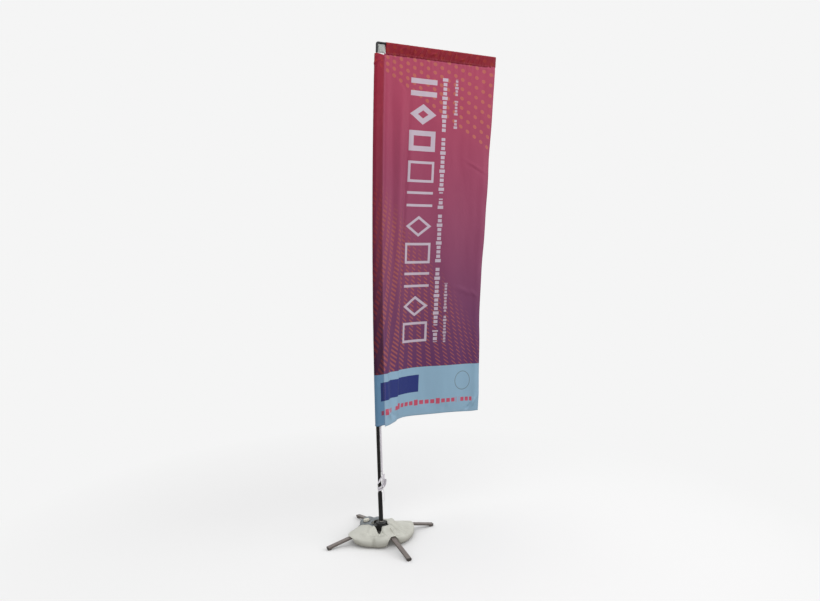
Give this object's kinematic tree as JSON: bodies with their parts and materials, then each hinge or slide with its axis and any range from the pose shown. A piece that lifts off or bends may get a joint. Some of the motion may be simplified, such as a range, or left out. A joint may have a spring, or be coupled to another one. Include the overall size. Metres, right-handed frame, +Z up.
{
  "type": "banner flag",
  "caption": "Rectangular banner flag on a bowed mast with a top arm, held by a folding cross base with a swivel socket and a soft water bag.",
  "frame": {"origin": "on the floor under the spindle axis, in the middle of the four feet", "axes": "+Z up along the spindle, +X along the top arm and leg B, +Y along leg A, away from the printed face's viewer"},
  "size_m": [1.217, 0.6736, 2.8001],
  "materials": {
    "hub_black": "satin",
    "steel": "satin",
    "nylon": "satin",
    "leg_steel": "satin",
    "foot_plastic": "matte",
    "socket_black": "satin",
    "mast_alloy": "satin",
    "mast_fibreglass": "satin",
    "black_plastic": "satin",
    "flag_print": "matte",
    "sleeve_fabric": "satin",
    "patch_fabric": "matte",
    "strap_webbing": "matte",
    "bag_pvc": "satin",
    "panel_pvc": "satin",
    "neck_plastic": "satin",
    "cap_plastic": "satin",
    "seal_rubber": "matte"
  },
  "bodies": {
    "base": {"hub_body": "hub_black", "spindle": "steel", "spindle_washer": "steel", "spindle_nut": "steel", "thrust_washer": "nylon", "circlip": "steel", "pivot_bolts": "steel", "pivot_nuts": "steel"},
    "leg_a": {"leg_tube_a": "leg_steel", "leg_knuckle_a": "leg_steel", "foot_cap_a": "foot_plastic"},
    "leg_b": {"leg_tube_b": "leg_steel", "leg_knuckle_b": "leg_steel", "foot_cap_b": "foot_plastic"},
    "leg_c": {"leg_tube_c": "leg_steel", "leg_knuckle_c": "leg_steel", "foot_cap_c": "foot_plastic"},
    "leg_d": {"leg_tube_d": "leg_steel", "leg_knuckle_d": "leg_steel", "foot_cap_d": "foot_plastic"},
    "socket": {"socket_tube": "socket_black", "lower_bearing": "nylon", "upper_bearing": "nylon", "mast_stop": "socket_black"},
    "mast": {"mast_foot_plug": "black_plastic", "mast_lower": "mast_alloy", "mast_middle": "mast_alloy", "mast_upper": "mast_fibreglass", "lower_ferrule": "mast_alloy", "upper_ferrule": "mast_alloy", "corner_elbow": "black_plastic", "top_arm": "mast_fibreglass", "arm_end_cap": "black_plastic", "flag_field": "flag_print", "mast_sleeve": "sleeve_fabric", "top_sleeve": "sleeve_fabric", "corner_patch": "patch_fabric", "hem_tab": "strap_webbing", "tension_strap": "strap_webbing", "strap_knot": "strap_webbing", "strap_tail": "strap_webbing"},
    "bag": {"bag_front_chamber": "bag_pvc", "bag_right_chamber": "bag_pvc", "bag_filler_panel": "panel_pvc", "filler_neck": "neck_plastic"},
    "seal": {"filler_seal": "seal_rubber"},
    "cap": {"filler_cap": "cap_plastic"}
  },
  "joints": [
    {"name": "base_swivel", "type": "hinge", "parent": "base", "child": "socket", "pos_m": [0, 0, 0.12], "axis": [0, 0, 1], "continuous": true},
    {"name": "mast_pull", "type": "slide", "parent": "socket", "child": "mast", "axis": [0, 0, 1], "range_m": [0, 0.074]},
    {"name": "bag_lift", "type": "slide", "parent": "base", "child": "bag", "axis": [0, 0, 1], "range_m": [0, 0.15]},
    {"name": "leg_a_fold", "type": "hinge", "parent": "base", "child": "leg_a", "pos_m": [0, 0.058, 0.06955], "axis": [-1, 0, 0], "range_deg": [0, 74]},
    {"name": "leg_b_fold", "type": "hinge", "parent": "base", "child": "leg_b", "pos_m": [0.058, 0, 0.06955], "axis": [0, 1, 0], "range_deg": [0, 74]},
    {"name": "leg_c_fold", "type": "hinge", "parent": "base", "child": "leg_c", "pos_m": [-0.058, 0, 0.06955], "axis": [0, -1, 0], "range_deg": [0, 74]},
    {"name": "leg_d_fold", "type": "hinge", "parent": "base", "child": "leg_d", "pos_m": [0, -0.058, 0.06955], "axis": [1, 0, 0], "range_deg": [0, 74]},
    {"name": "cap_rise", "type": "slide", "parent": "bag", "child": "seal", "axis": [-0.1247, 0.1663, 0.9781], "range_m": [0, 0.006]},
    {"name": "cap_turn", "type": "hinge", "parent": "seal", "child": "cap", "pos_m": [-0.057, 0.076, 0.078], "axis": [-0.1247, 0.1663, 0.9781], "range_deg": [0, 720]}
  ],
  "couplings": [
    {"joint": "cap_rise", "follows": "cap_turn", "m_per_rad": 0.000477}
  ]
}
